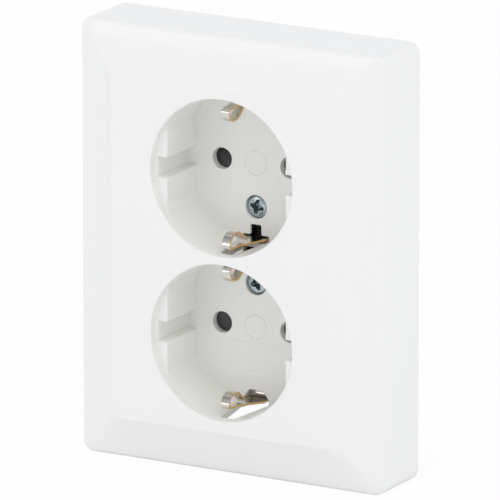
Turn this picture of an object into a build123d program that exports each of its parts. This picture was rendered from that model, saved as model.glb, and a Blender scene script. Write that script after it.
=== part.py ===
from build123d import *
import os
from math import hypot, sqrt

# Double earthed socket outlet for one flush box, in mm. X is right, Z is up and the plate faces -Y.
# The origin is the centre of the plate on the wall plane, so the insert lies on the +Y side.

# Cover plate
plate_w = 84.5
plate_h = 110.0
side_d = 18.0
field_rise = 5.5
cove_w = 11.5
cove_sag = 0.92
corner_r = 2.5
edge_r = 1.2
shell_t = 2.2

# Cups, with the sizes that the plug standard sets
cup_r = 19.7
cup_depth = 17.5
cup_wall = 1.5
cup_gap = 1.1
rim_bevel = 0.5
floor_t = 2.0
floor_lip = 0.7
flat_x = 16.45
rib_drop = 2.45
rib_edge_r = 0.8
groove_w = 5.0
groove_depth = 2.65
pin_spacing = 19.0
pin_r = 2.4
pin_len = 19.0
pin_play = 0.3

# Metal strips, screws and the flush box
strip_t = 0.5
root_w = 6.6
loop_w = 2.35
bar_t = 0.7
wire_hole_r = 1.9
cover_screw_r = 1.5
cover_head_r = 2.8
cover_head_t = 2.2
head_sink = 2.6
recess_l = 3.8
recess_w = 0.9
recess_turn = -13.0
screw_offset = 11.1
frame_screw_r = 1.25
frame_head_r = 2.2
frame_t = 1.2
box_spacing = 60.0
box_slot_r = 1.9
box_slot_travel = 3.0

# Clearances
run_gap = 0.3
pivot_gap = 0.05
thread_gap = 0.02
slide_gap = 0.1
head_gap = 0.15
slot_gap = 0.65

# Derived positions
plate_d = side_d + field_rise
rim_out = cup_r + rim_bevel
cup_spacing = 2 * rim_out + cup_gap
cup_z = cup_spacing / 2
pin_x = pin_spacing / 2
pin_hole_r = pin_r + pin_play
floor_y = cup_depth - plate_d
floor_back = floor_y + floor_t
rib_y = rib_drop - plate_d
screw_z = cup_z - screw_offset
shutter_t = 3.2
shutter_front = floor_back + run_gap
shutter_back = shutter_front + shutter_t
strap_front = shutter_back + run_gap + 0.2
carrier_front = strap_front + strip_t
base_front = carrier_front + 1.6
pin_tip = floor_y + pin_len
fork_y = pin_tip + 0.4 + bar_t / 2
chamber_end = fork_y + bar_t / 2 + 0.1
base_back = chamber_end + 1.8
fork_gap = pin_r - 0.3
fork_half = pin_hole_r + 0.1
chamber_x = fork_gap + bar_t + 0.6
chamber_z = fork_half + 0.25
base_r = hypot(pin_x + chamber_x, cup_z + chamber_z) + 1.2
fix_x = (base_r - 3.2) * 0.8
fix_z = (base_r - 3.2) * 0.6
wing_half = pin_hole_r + 0.9
wing_in = pin_x - pin_hole_r - 1.6
wing_out = pin_x + pin_hole_r + 0.9
half_turn = Location((0, 0, 0), (0, 180, 0))

os.makedirs("parts", exist_ok=True)


def y_plane(y):
    """Plane across the plate at depth y, seen from the front: X right, Z up, extrusions to -Y."""
    return Plane.XZ.offset(-y)


# Cover: the border is a concave cove, mitred at the corners, so the panel is the common part of
# one cove profile run up the plate and another run across it.
with BuildPart() as cover_block:
    with BuildSketch(Plane.XY.offset(-plate_h / 2)) as cove_up:
        with BuildLine():
            half = plate_w / 2
            Line((-half, -side_d), (-half, 0))
            Line((-half, 0), (half, 0))
            Line((half, 0), (half, -side_d))
            SagittaArc((half, -side_d), (half - cove_w, -plate_d), -cove_sag)
            Line((half - cove_w, -plate_d), (cove_w - half, -plate_d))
            SagittaArc((cove_w - half, -plate_d), (-half, -side_d), -cove_sag)
        make_face()
        fillet(cove_up.vertices().filter_by_position(Axis.Y, -side_d - 0.1, -side_d + 0.1), edge_r)
    extrude(amount=plate_h)
    with BuildSketch(Plane.YZ.offset(-plate_w / 2)) as cove_across:
        with BuildLine():
            half = plate_h / 2
            Line((-side_d, -half), (0, -half))
            Line((0, -half), (0, half))
            Line((0, half), (-side_d, half))
            SagittaArc((-side_d, half), (-plate_d, half - cove_w), cove_sag)
            Line((-plate_d, half - cove_w), (-plate_d, cove_w - half))
            SagittaArc((-plate_d, cove_w - half), (-side_d, -half), cove_sag)
        make_face()
        fillet(cove_across.vertices().filter_by_position(Axis.Y, -side_d - 0.1, -side_d + 0.1), edge_r)
    extrude(amount=plate_w, mode=Mode.INTERSECT)
    with BuildSketch(y_plane(0)):
        RectangleRounded(plate_w, plate_h, corner_r)
    extrude(amount=plate_d, mode=Mode.INTERSECT)

# Space inside the cover: it follows the cove at the thickness of the shell.
with BuildPart() as cover_hollow:
    inner_x = plate_w / 2 - shell_t
    inner_z = plate_h / 2 - shell_t
    slope = cove_w - shell_t + 1.0
    with BuildSketch(Plane.XY.offset(-inner_z)):
        with BuildLine():
            Polyline(
                (-inner_x, 1.0),
                (inner_x, 1.0),
                (inner_x, shell_t - side_d),
                (inner_x - slope, shell_t - plate_d),
                (slope - inner_x, shell_t - plate_d),
                (-inner_x, shell_t - side_d),
                close=True,
            )
        make_face()
    extrude(amount=2 * inner_z)
    with BuildSketch(Plane.YZ.offset(-inner_x)):
        with BuildLine():
            Polyline(
                (1.0, -inner_z),
                (1.0, inner_z),
                (shell_t - side_d, inner_z),
                (shell_t - plate_d, inner_z - slope),
                (shell_t - plate_d, slope - inner_z),
                (shell_t - side_d, -inner_z),
                close=True,
            )
        make_face()
    extrude(amount=2 * inner_x, mode=Mode.INTERSECT)

# What is cut off the front edges of the ribs in the cups to round them.
with BuildPart() as rib_rounds:
    with BuildSketch(Plane.XY.offset(-cup_z - cup_r)):
        for s in (1, -1):
            arc_x = flat_x + rib_edge_r * (1 - sqrt(0.5))
            arc_y = rib_y + rib_edge_r * (1 - sqrt(0.5))
            with BuildLine():
                Polyline(
                    (s * flat_x, rib_y + rib_edge_r),
                    (s * (flat_x - rib_edge_r), rib_y + rib_edge_r),
                    (s * (flat_x - rib_edge_r), rib_y - rib_edge_r),
                    (s * (flat_x + rib_edge_r), rib_y - rib_edge_r),
                    (s * (flat_x + rib_edge_r), rib_y),
                )
                ThreePointArc(
                    (s * (flat_x + rib_edge_r), rib_y),
                    (s * arc_x, arc_y),
                    (s * flat_x, rib_y + rib_edge_r),
                )
            make_face()
    extrude(amount=2 * (cup_z + cup_r))
    with BuildSketch(y_plane(rib_y + rib_edge_r)):
        with Locations((0, cup_z), (0, -cup_z)):
            Circle(cup_r)
    extrude(amount=2 * rib_edge_r, mode=Mode.INTERSECT)

# Sizes of the earth contacts, from the centre of a cup floor. The two outer contacts stand nearer
# to the cup's axis and lean towards it.
clip_root = cup_r - 0.9
clip_front = cup_depth - 2.65
clip_kink = cup_depth - 7.7
outer_root = clip_root - 0.45
outer_lean = 1.0
slot_y = rib_y + 0.8
slot_h = cup_r + cup_wall + 0.6 - clip_root
mid_slot_h = 2 * (cup_z - cup_r + 1.0)
pivot_r = 2.0
post_r = 0.8
coil_r = 2.6
wire_r = 0.25
post_x = coil_r + wire_r + post_r + 0.05

with BuildPart() as cover:
    add(cover_block.part)
    add(cover_hollow.part, mode=Mode.SUBTRACT)
    # Cup tubes with their floors
    with BuildSketch(y_plane(floor_back)):
        with Locations((0, cup_z), (0, -cup_z)):
            Circle(cup_r + cup_wall)
    extrude(amount=plate_d + floor_back - shell_t / 2)
    # Screw bosses, shutter pivots and the posts for the shutter springs, behind the floors
    with BuildSketch(y_plane(strap_front - run_gap)):
        with Locations((0, screw_z), (0, -screw_z)):
            Circle(cover_head_r + 1.4)
    extrude(amount=strap_front - run_gap - floor_back + floor_t / 2)
    with BuildSketch(y_plane(shutter_back - 0.4)):
        with Locations((0, cup_z), (0, -cup_z)):
            Circle(pivot_r)
        with Locations((post_x, cup_z - 6.0), (-post_x, 6.0 - cup_z)):
            Circle(post_r)
    extrude(amount=shutter_back - 0.4 - floor_back + floor_t / 2)
    # Inside of the cups: round at the mouth, then two flats with a groove in each
    with BuildSketch(y_plane(-plate_d)):
        with Locations((0, cup_z), (0, -cup_z)):
            Circle(cup_r)
    extrude(amount=-rib_drop, mode=Mode.SUBTRACT)
    with BuildSketch(y_plane(rib_y)):
        with Locations((0, cup_z), (0, -cup_z)):
            Circle(cup_r)
        Rectangle(2 * flat_x, plate_h, mode=Mode.INTERSECT)
        with Locations((0, cup_z), (0, -cup_z)):
            Rectangle(2 * (flat_x + groove_depth), groove_w)
    extrude(amount=rib_drop - cup_depth, mode=Mode.SUBTRACT)
    add(rib_rounds.part, mode=Mode.SUBTRACT)
    # Slots through the cup walls, tapered like the earth contacts that spring back into them
    for z, height in (
        (cup_z + clip_root, slot_h),
        (-cup_z - clip_root - slot_h, slot_h),
        (-mid_slot_h / 2, mid_slot_h),
    ):
        with BuildSketch(Plane.XY.offset(z)):
            Polygon(
                (-root_w / 2 - slot_gap, floor_y),
                (root_w / 2 + slot_gap, floor_y),
                (loop_w / 2 + slot_gap, slot_y),
                (-loop_w / 2 - slot_gap, slot_y),
                align=None,
            )
        extrude(amount=height, mode=Mode.SUBTRACT)
    # Openings in the floors: pin holes, T openings beside the plate's middle, trapezoids outside
    with BuildSketch(y_plane(floor_back)):
        with Locations(*[(x, z) for x in (pin_x, -pin_x) for z in (cup_z, -cup_z)]):
            Circle(pin_hole_r)
        for s in (1, -1):
            with Locations((0, s * (cup_z - clip_root + 1.65))):
                Rectangle(3.1, 3.3)
            with Locations((0, s * (cup_z - cup_r + 0.55))):
                Rectangle(root_w + 0.6, 2.1)
            with BuildLine():
                Polyline(
                    (-root_w / 2 - 0.3, s * (cup_z + clip_root + slot_h)),
                    (root_w / 2 + 0.3, s * (cup_z + clip_root + slot_h)),
                    (root_w / 2 + 0.3, s * (cup_z + clip_root - 0.6)),
                    (1.9, s * (cup_z + clip_root - 2.8)),
                    (-1.9, s * (cup_z + clip_root - 2.8)),
                    (-root_w / 2 - 0.3, s * (cup_z + clip_root - 0.6)),
                    close=True,
                )
            make_face()
    extrude(amount=floor_t, mode=Mode.SUBTRACT)
    # The stems of the T openings widen behind a thin lip
    with BuildSketch(y_plane(floor_back)):
        with Locations((0, cup_z - clip_root + 1.65), (0, clip_root - 1.65 - cup_z)):
            Rectangle(5.1, 3.3)
    extrude(amount=floor_t - floor_lip, mode=Mode.SUBTRACT)
    # Counterbored holes for the cover screws
    with BuildSketch(y_plane(floor_y)):
        with Locations((0, screw_z), (0, -screw_z)):
            Circle(cover_head_r + head_gap)
    extrude(amount=-head_sink, mode=Mode.SUBTRACT)
    with BuildSketch(y_plane(floor_y)):
        with Locations((0, screw_z), (0, -screw_z)):
            Circle(cover_screw_r + 0.2)
    extrude(amount=-(floor_t - floor_back + 4.0), mode=Mode.SUBTRACT)
    # Shallow bare field in the lower floor, which runs out at its ends
    with BuildSketch(Plane.XY.offset(-cup_z - 12.2)):
        Polygon(
            (-pin_x, floor_y),
            (pin_x, floor_y),
            (pin_x - 3.5, floor_y + 0.35),
            (3.5 - pin_x, floor_y + 0.35),
            align=None,
        )
    extrude(amount=8.3, mode=Mode.SUBTRACT)
    mouths = cover.edges().filter_by(GeomType.CIRCLE)
    rims = mouths.filter_by_position(Axis.Y, -plate_d - 0.01, 0.01 - plate_d)
    chamfer(rims, rim_bevel)

cover.part.label = "cover"
export_step(cover.part, "parts/cover.step")

# Cover screws: cheese heads with a cross recess, sunk in the cup floors.
head_seat = floor_y + head_sink
head_front = head_seat - cover_head_t
with BuildPart() as cover_screws:
    with BuildSketch(y_plane(head_seat)):
        with Locations((0, screw_z), (0, -screw_z)):
            Circle(cover_head_r)
    extrude(amount=cover_head_t)
    chamfer(cover_screws.edges().filter_by_position(Axis.Y, head_front - 0.01, head_front + 0.01), 0.3)
    with BuildSketch(y_plane(base_front + 0.6)):
        with Locations((0, screw_z), (0, -screw_z)):
            Circle(cover_screw_r)
    extrude(amount=base_front + 0.6 - head_seat)
    with BuildSketch(y_plane(head_front)):
        with Locations((0, screw_z), (0, -screw_z)):
            Rectangle(recess_l, recess_w, rotation=recess_turn)
            Rectangle(recess_w, recess_l, rotation=recess_turn)
            Circle(recess_w)
    extrude(amount=-1.0, mode=Mode.SUBTRACT)

cover_screws.part.label = "cover_screws"
export_step(cover_screws.part, "parts/cover_screws.step")

# One earth contact, at the bottom of a cup and seen from the centre of its floor: a wide root
# that tapers to a narrow strip, looped back towards the cup's axis.
def earth_contact(root, lean):
    """A contact whose root lies at that distance from the axis, leaning inwards at its front."""
    path = [
        (y, z - root - lean * min(y, 0.0) / clip_front)
        for y, z in (
            (0.6, 0.0),
            (-clip_kink, 0.5),
            (-clip_front, 0.6),
            (-clip_front, 3.05),
            (4.85 - clip_front, 3.2),
            (8.85 - clip_front, 1.05),
        )
    ]
    with BuildPart() as leg:
        with BuildSketch(Plane.YZ):
            with BuildLine():
                Line(path[0], path[1])
            trace(line_width=strip_t)
        extrude(amount=root_w / 2, both=True)
        with BuildSketch(Plane.XY):
            Polygon(
                (-root_w / 2, 1.0),
                (root_w / 2, 1.0),
                (root_w / 2, -1.5),
                (loop_w / 2, -clip_kink),
                (-loop_w / 2, -clip_kink),
                (-root_w / 2, -1.5),
                align=None,
            )
        extrude(amount=-2 * cup_r, mode=Mode.INTERSECT)
    with BuildPart() as contact:
        with BuildSketch(Plane.YZ):
            with BuildLine():
                FilletPolyline(*path, radius=1.0)
            trace(line_width=strip_t)
        extrude(amount=loop_w / 2, both=True)
        add(leg.part)
    return contact.part


outer_contact = earth_contact(outer_root, outer_lean)
middle_contact = earth_contact(clip_root, 0.0)

# Earth strap: runs behind the shutters, rises over the frame and ends in the two outer contacts.
strap_mid = strap_front + strip_t / 2
strap_high = floor_back + 0.75
root_z = cup_z + outer_root
with BuildPart() as earth_strap:
    with BuildSketch(Plane.YZ):
        with BuildLine():
            FilletPolyline(
                (floor_y, -root_z),
                (strap_high, -root_z),
                (strap_high, -cup_z - 13.3),
                (strap_mid, -cup_z - 8.0),
                (strap_mid, cup_z + 8.0),
                (strap_high, cup_z + 13.3),
                (strap_high, root_z),
                (floor_y, root_z),
                radius=0.7,
            )
        trace(line_width=strip_t)
    extrude(amount=root_w / 2, both=True)
    # Terminal tab, bent back from the edge of the strap
    with BuildSketch(y_plane(chamber_end - 0.6)):
        with Locations((root_w / 2 - strip_t / 2, 0)):
            Rectangle(strip_t, 14.0)
    extrude(amount=chamber_end - 0.6 - strap_front)
    # Drawn collars for the cover screws
    with BuildSketch(y_plane(base_front + 0.4)):
        with Locations((0, screw_z), (0, -screw_z)):
            Circle(cover_screw_r + 0.9)
    extrude(amount=base_front + 0.4 - strap_front - strip_t / 2)
    with BuildSketch(y_plane(base_front + 1.0)):
        with Locations((0, screw_z), (0, -screw_z)):
            Circle(cover_screw_r + thread_gap)
        Circle(1.0 + thread_gap)
    extrude(amount=base_front + 3.0, mode=Mode.SUBTRACT)
    with Locations((0, floor_y, -cup_z)):
        add(outer_contact)
    with Locations(half_turn * Location((0, floor_y, -cup_z))):
        add(outer_contact)

earth_strap.part.label = "earth_strap"
export_step(earth_strap.part, "parts/earth_strap.step")

# Earth bridge: a U that lies on the strap and carries the two middle contacts.
bridge_z = cup_z - clip_root
with BuildPart() as earth_bridge:
    with BuildSketch(Plane.YZ):
        with BuildLine():
            FilletPolyline(
                (floor_y, -bridge_z),
                (strap_front - strip_t / 2, -bridge_z),
                (strap_front - strip_t / 2, bridge_z),
                (floor_y, bridge_z),
                radius=0.5,
            )
        trace(line_width=strip_t)
    extrude(amount=root_w / 2, both=True)
    with BuildSketch(y_plane(strap_front + 0.5)):
        Circle(1.0 + thread_gap)
    extrude(amount=1.5, mode=Mode.SUBTRACT)
    with Locations((0, floor_y, cup_z)):
        add(middle_contact)
    with Locations(half_turn * Location((0, floor_y, cup_z))):
        add(middle_contact)

earth_bridge.part.label = "earth_bridge"
export_step(earth_bridge.part, "parts/earth_bridge.step")

# Rivet that joins the bridge to the strap.
with BuildPart() as earth_rivet:
    with BuildSketch(y_plane(strap_front - strip_t)):
        Circle(1.4)
    extrude(amount=0.7)
    with BuildSketch(y_plane(carrier_front)):
        Circle(1.0)
    extrude(amount=2 * strip_t + 0.2)
    with BuildSketch(y_plane(carrier_front + 0.6)):
        Circle(1.5)
    extrude(amount=0.6)

earth_rivet.part.label = "earth_rivet"
export_step(earth_rivet.part, "parts/earth_rivet.step")

# Rotary shutter: a thin hub on the pivot of the cup floor and two wings behind the pin holes.
# One wing has the ramp that a plug pin pushes on, the other is flat up to its chamfered edge.
hub_r = wing_in - 0.2
hub_back = shutter_front + 1.4
coil_y = hub_back + 0.6
with BuildPart() as shutter_upper:
    with BuildSketch(y_plane(hub_back)):
        with Locations((0, cup_z)):
            Circle(hub_r)
            Rectangle(2 * wing_in + 2.0, 2 * wing_half)
    extrude(amount=hub_back - shutter_front)
    with BuildSketch(y_plane(shutter_back)):
        with Locations((0, cup_z)):
            Circle(hypot(wing_out, wing_half) - 0.4)
            Rectangle(2 * wing_out, 2 * wing_half, mode=Mode.INTERSECT)
            Rectangle(2 * wing_in, 2 * wing_half, mode=Mode.SUBTRACT)
    extrude(amount=shutter_t)
    with BuildSketch(Plane.YZ.offset(-wing_out - 1.0)):
        Polygon(
            (shutter_front - 0.1, cup_z - wing_half + 1.0),
            (shutter_front - 0.1, cup_z + wing_half + 0.1),
            (shutter_front + 2.4, cup_z + wing_half + 0.1),
            align=None,
        )
    extrude(amount=wing_out - wing_in, mode=Mode.SUBTRACT)
    with BuildSketch(Plane.YZ.offset(wing_in + 1.0)):
        Polygon(
            (shutter_front - 0.1, cup_z - wing_half + 1.2),
            (shutter_front - 0.1, cup_z - wing_half - 0.1),
            (shutter_front + 1.3, cup_z - wing_half - 0.1),
            align=None,
        )
    extrude(amount=wing_out - wing_in, mode=Mode.SUBTRACT)
    with BuildSketch(y_plane(shutter_back)):
        with Locations((0, cup_z)):
            Circle(pivot_r + pivot_gap)
    extrude(amount=shutter_t, mode=Mode.SUBTRACT)
    # Hole for the moving leg of the spring
    with BuildSketch(Plane.YZ.offset(-wing_in - 1.4)):
        with Locations((coil_y - 0.2, cup_z + coil_r)):
            Rectangle(2 * wire_r + 0.2, 2 * wire_r + 0.2)
    extrude(amount=1.5, mode=Mode.SUBTRACT)
with BuildPart() as shutter_lower:
    with Locations(half_turn):
        add(shutter_upper.part)

shutter_upper.part.label = "shutter_upper"
export_step(shutter_upper.part, "parts/shutter_upper.step")
shutter_lower.part.label = "shutter_lower"
export_step(shutter_lower.part, "parts/shutter_lower.step")

# Shutter spring: a torsion coil of square wire round the pivot, with one leg in the wing and
# the other on the fixed post.
coil_pitch = 2.2 * wire_r
with BuildPart() as spring_upper:
    with BuildLine() as spring_path:
        coil = Helix(
            pitch=coil_pitch,
            height=1.25 * coil_pitch,
            radius=coil_r,
            center=(0, coil_y, cup_z),
            direction=(0, 1, 0),
        )
        moving_leg = Line(coil @ 0 - (coil % 0) * (wing_in + 1.0), coil @ 0)
        fixed_leg = Line(coil @ 1, coil @ 1 + (coil % 1) * 6.6)
    with BuildSketch(Plane(origin=moving_leg @ 0, x_dir=(0, 1, 0), z_dir=moving_leg % 0)):
        Rectangle(2 * wire_r, 2 * wire_r)
    sweep(path=spring_path.wires()[0])
with BuildPart() as spring_lower:
    with Locations(half_turn):
        add(spring_upper.part)

spring_upper.part.label = "shutter_spring_upper"
export_step(spring_upper.part, "parts/shutter_spring_upper.step")
spring_lower.part.label = "shutter_spring_lower"
export_step(spring_lower.part, "parts/shutter_spring_lower.step")

# Contact bars: one brass strip on edge for each pole, folded into a fork at each plug pin.
bar_face = pin_x - fork_gap
fork_mid = fork_gap + bar_t / 2
fork_top = base_front + 2.0
with BuildPart() as line_bar:
    for z in (cup_z, -cup_z):
        with BuildSketch(Plane.XY.offset(z - fork_half)):
            with BuildLine():
                FilletPolyline(
                    (-pin_x - fork_mid - 0.3, fork_top),
                    (-pin_x - fork_mid, fork_top + 2.0),
                    (-pin_x - fork_mid, fork_y),
                    (-pin_x + fork_mid, fork_y),
                    (-pin_x + fork_mid, fork_top + 2.0),
                    (-pin_x + fork_mid + 0.3, fork_top),
                    radius=0.7,
                )
            trace(line_width=bar_t)
        extrude(amount=2 * fork_half)
    with BuildSketch(y_plane(fork_y - 6.0)):
        with Locations((bar_t / 2 - bar_face, 0)):
            Rectangle(bar_t, 2 * (cup_z - fork_half + 0.5))
    extrude(amount=-5.0)
with BuildPart() as neutral_bar:
    with Locations(half_turn):
        add(line_bar.part)

line_bar.part.label = "line_bar"
export_step(line_bar.part, "parts/line_bar.step")
neutral_bar.part.label = "neutral_bar"
export_step(neutral_bar.part, "parts/neutral_bar.step")

# Push-in terminals: each pole has a clamping face, the side it faces and two clamp springs.
tab_face = root_w / 2 - strip_t
poles = [(-bar_face, -1), (bar_face, 1), (tab_face, -1)]
leaf_t = 0.4
leaf_w = 5.6
wire_z = 5.2
with BuildPart() as clamp_springs:
    for face, side in poles:
        for z in (wire_z, -wire_z):
            with BuildSketch(Plane.XY.offset(z - leaf_w / 2)):
                with BuildLine():
                    FilletPolyline(
                        (face + side * 6.3, chamber_end - 8.6),
                        (face + side * 6.3, chamber_end - 0.6),
                        (face + side * 4.5, chamber_end - 0.6),
                        (face + side * 0.7, chamber_end - 7.3),
                        radius=0.7,
                    )
                trace(line_width=leaf_t)
            extrude(amount=leaf_w)

clamp_springs.part.label = "clamp_springs"
export_step(clamp_springs.part, "parts/clamp_springs.step")

# Release pushers: a head in a slot of the base and a flange that keeps it in.
pusher_w = 2.4
pusher_h = 5.0
pushers = []
for face, side in poles:
    with BuildPart() as pusher:
        with BuildSketch(y_plane(base_back - 0.2)):
            with Locations((face + side * 1.7, 0)):
                Rectangle(pusher_w, pusher_h)
        extrude(amount=base_back - chamber_end)
        with BuildSketch(y_plane(chamber_end - 0.2)):
            with Locations((face + side * 1.7, 0)):
                Rectangle(pusher_w, pusher_h + 1.4)
        extrude(amount=1.4)
        with BuildSketch(y_plane(base_back - 0.2)):
            with Locations((face + side * 1.7, 0)):
                Rectangle(0.8, 3.0)
        extrude(amount=0.8, mode=Mode.SUBTRACT)
    pushers.append(pusher)
pusher_line, pusher_neutral, pusher_earth = pushers

pusher_line.part.label = "pusher_line"
export_step(pusher_line.part, "parts/pusher_line.step")
pusher_neutral.part.label = "pusher_neutral"
export_step(pusher_neutral.part, "parts/pusher_neutral.step")
pusher_earth.part.label = "pusher_earth"
export_step(pusher_earth.part, "parts/pusher_earth.step")

# Contact cover: the insulating plate over the chambers, on four spacers behind the frame.
base_half_w = fix_x + 4.0
with BuildPart() as contact_cover:
    with BuildSketch(y_plane(base_front)):
        Circle(base_r)
        Rectangle(2 * base_half_w, 2 * base_r, mode=Mode.INTERSECT)
    extrude(amount=base_front - carrier_front)
    with BuildSketch(y_plane(carrier_front)):
        with Locations(*[(x, z) for x in (fix_x, -fix_x) for z in (fix_z, -fix_z)]):
            Circle(3.0)
    extrude(amount=carrier_front)
    with BuildSketch(y_plane(base_front)):
        with Locations(*[(x, z) for x in (pin_x, -pin_x) for z in (cup_z, -cup_z)]):
            Rectangle(2 * pin_hole_r + 0.4, 2 * pin_hole_r + 0.4)
        with Locations((0, screw_z), (0, -screw_z)):
            Circle(cover_screw_r + 1.2)
        Circle(1.8)
        with Locations((root_w / 2 - strip_t / 2, 0)):
            Rectangle(strip_t + 0.2, 14.2)
        with Locations(*[(x, z) for x in (fix_x, -fix_x) for z in (fix_z, -fix_z)]):
            Circle(frame_screw_r + thread_gap)
    extrude(amount=base_front + 1.0, mode=Mode.SUBTRACT)

contact_cover.part.label = "contact_cover"
export_step(contact_cover.part, "parts/contact_cover.step")

# Base: the insulating body in the flush box, with chambers for the bars and the terminals.
chamber_d = chamber_end - base_front
with BuildPart() as base:
    with BuildSketch(y_plane(base_front)):
        Circle(base_r)
        Rectangle(2 * base_half_w, 2 * base_r, mode=Mode.INTERSECT)
    extrude(amount=base_front - base_back)
    chamfer(base.faces().sort_by(Axis.Y)[-1].outer_wire().edges(), 1.0)
    with BuildSketch(y_plane(base_front)):
        with Locations(*[(x, z) for x in (pin_x, -pin_x) for z in (cup_z, -cup_z)]):
            Rectangle(2 * chamber_x, 2 * chamber_z)
        with Locations((bar_face - bar_t / 2, 0), (bar_t / 2 - bar_face, 0)):
            Rectangle(bar_t + 0.4, 2 * cup_z)
        for face, side in poles:
            with Locations((face + side * 3.3, 0)):
                Rectangle(7.4, 2 * (wire_z + leaf_w / 2 + 0.5))
        with Locations((tab_face + 0.3, 0)):
            Rectangle(1.2, 14.4)
    extrude(amount=-chamber_d, mode=Mode.SUBTRACT)
    with BuildSketch(y_plane(base_front)):
        with Locations((0, screw_z), (0, -screw_z)):
            Circle(cover_screw_r + 1.2)
        Circle(1.8)
    extrude(amount=-4.0, mode=Mode.SUBTRACT)
    with BuildSketch(y_plane(base_front)):
        with Locations(*[(x, z) for x in (fix_x, -fix_x) for z in (fix_z, -fix_z)]):
            Circle(frame_screw_r + thread_gap)
    extrude(amount=-8.0, mode=Mode.SUBTRACT)
    # Bare sunk fields on the back, between the chambers
    with BuildSketch(y_plane(base_back)):
        with Locations((0, cup_z - 2.0), (0, 2.0 - cup_z)):
            RectangleRounded(9.0, 12.0, 1.0)
    extrude(amount=0.5, mode=Mode.SUBTRACT)
    # Wire entries with funnels, and the slots of the pushers
    with BuildSketch(y_plane(base_back)):
        for face, side in poles:
            with Locations((face + side * 1.7, wire_z), (face + side * 1.7, -wire_z)):
                Circle(wire_hole_r)
            with Locations((face + side * 1.7, 0)):
                Rectangle(pusher_w + 2 * slide_gap, pusher_h + 2 * slide_gap)
    extrude(amount=base_back - chamber_end + 0.5, mode=Mode.SUBTRACT)
    rounds = base.edges().filter_by(GeomType.CIRCLE)
    back_rounds = rounds.filter_by_position(Axis.Y, base_back - 0.01, base_back + 0.01)
    chamfer([e for e in back_rounds if abs(e.radius - wire_hole_r) < 0.01], 0.5)

base.part.label = "base"
export_step(base.part, "parts/base.step")

# Support frame: a zinc-plated steel ring on the wall, with slots for the flush-box screws.
frame_w = box_spacing + 11.0
frame_edge = 5.5
wall_hole_r = 2.2
frame_h = 2 * (cup_z + cup_r - 0.3)
with BuildPart() as support_frame:
    with BuildSketch(y_plane(0)):
        RectangleRounded(frame_w, frame_h, 3.0)
        RectangleRounded(2 * (wing_out + 2.0), 2 * (cup_z + wing_out + 2.2), 2.0, mode=Mode.SUBTRACT)
        with Locations((box_spacing / 2, 0), (-box_spacing / 2, 0)):
            SlotCenterToCenter(box_slot_travel, 2 * box_slot_r, mode=Mode.SUBTRACT)
        with Locations(*[(x, z) for x in (fix_x, -fix_x) for z in (fix_z, -fix_z)]):
            Circle(frame_screw_r + 0.25, mode=Mode.SUBTRACT)
        # Holes for wall plugs near the corners, and notches on the centre lines to set it out by
        with GridLocations(frame_w - 2 * frame_edge, frame_h - 2 * frame_edge, 2, 2):
            Circle(wall_hole_r, mode=Mode.SUBTRACT)
        with Locations((frame_w / 2, 0), (-frame_w / 2, 0), (0, frame_h / 2), (0, -frame_h / 2)):
            Circle(1.0, mode=Mode.SUBTRACT)
    extrude(amount=frame_t)

support_frame.part.label = "support_frame"
export_step(support_frame.part, "parts/support_frame.step")

# Frame screws: four pan heads that hold the contact cover and the base behind the frame.
with BuildPart() as frame_screws:
    with BuildSketch(y_plane(-frame_t)):
        with Locations(*[(x, z) for x in (fix_x, -fix_x) for z in (fix_z, -fix_z)]):
            Circle(frame_head_r)
    extrude(amount=1.4)
    with BuildSketch(y_plane(base_front + 7.0)):
        with Locations(*[(x, z) for x in (fix_x, -fix_x) for z in (fix_z, -fix_z)]):
            Circle(frame_screw_r)
    extrude(amount=base_front + 7.0 + frame_t)
    with BuildSketch(y_plane(-frame_t - 1.4)):
        with Locations(*[(x, z) for x in (fix_x, -fix_x) for z in (fix_z, -fix_z)]):
            Rectangle(2.6, 0.6)
            Rectangle(0.6, 2.6)
    extrude(amount=-0.8, mode=Mode.SUBTRACT)

frame_screws.part.label = "frame_screws"
export_step(frame_screws.part, "parts/frame_screws.step")
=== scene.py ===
from math import acos, asin, atan2, cos, hypot, pi, radians, sin, sqrt, tan

import bmesh
import bpy
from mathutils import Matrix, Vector


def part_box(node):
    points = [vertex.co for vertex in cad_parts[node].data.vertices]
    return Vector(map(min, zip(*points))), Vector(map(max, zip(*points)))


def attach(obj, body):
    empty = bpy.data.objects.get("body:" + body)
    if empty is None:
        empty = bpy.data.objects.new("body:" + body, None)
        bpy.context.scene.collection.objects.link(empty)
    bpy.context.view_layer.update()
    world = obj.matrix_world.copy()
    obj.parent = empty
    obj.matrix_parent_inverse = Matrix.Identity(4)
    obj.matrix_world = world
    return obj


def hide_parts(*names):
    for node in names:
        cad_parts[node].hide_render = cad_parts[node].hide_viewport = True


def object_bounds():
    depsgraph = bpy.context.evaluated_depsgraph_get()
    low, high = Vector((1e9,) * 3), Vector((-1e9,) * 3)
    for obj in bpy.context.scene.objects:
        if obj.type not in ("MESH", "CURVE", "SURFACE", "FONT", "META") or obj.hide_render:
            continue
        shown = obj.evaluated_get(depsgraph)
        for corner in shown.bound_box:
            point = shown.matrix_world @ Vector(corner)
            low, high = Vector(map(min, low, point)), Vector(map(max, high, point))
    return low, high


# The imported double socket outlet: X right, Z up, the plate faces -Y and the wall is at y = 0.
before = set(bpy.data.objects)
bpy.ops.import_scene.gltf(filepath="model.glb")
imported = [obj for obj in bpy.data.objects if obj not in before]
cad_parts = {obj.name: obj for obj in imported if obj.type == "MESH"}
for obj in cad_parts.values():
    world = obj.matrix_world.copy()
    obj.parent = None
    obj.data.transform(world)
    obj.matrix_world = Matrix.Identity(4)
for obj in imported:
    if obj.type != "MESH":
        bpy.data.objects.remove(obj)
cad_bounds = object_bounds()
mm = 0.001


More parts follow.
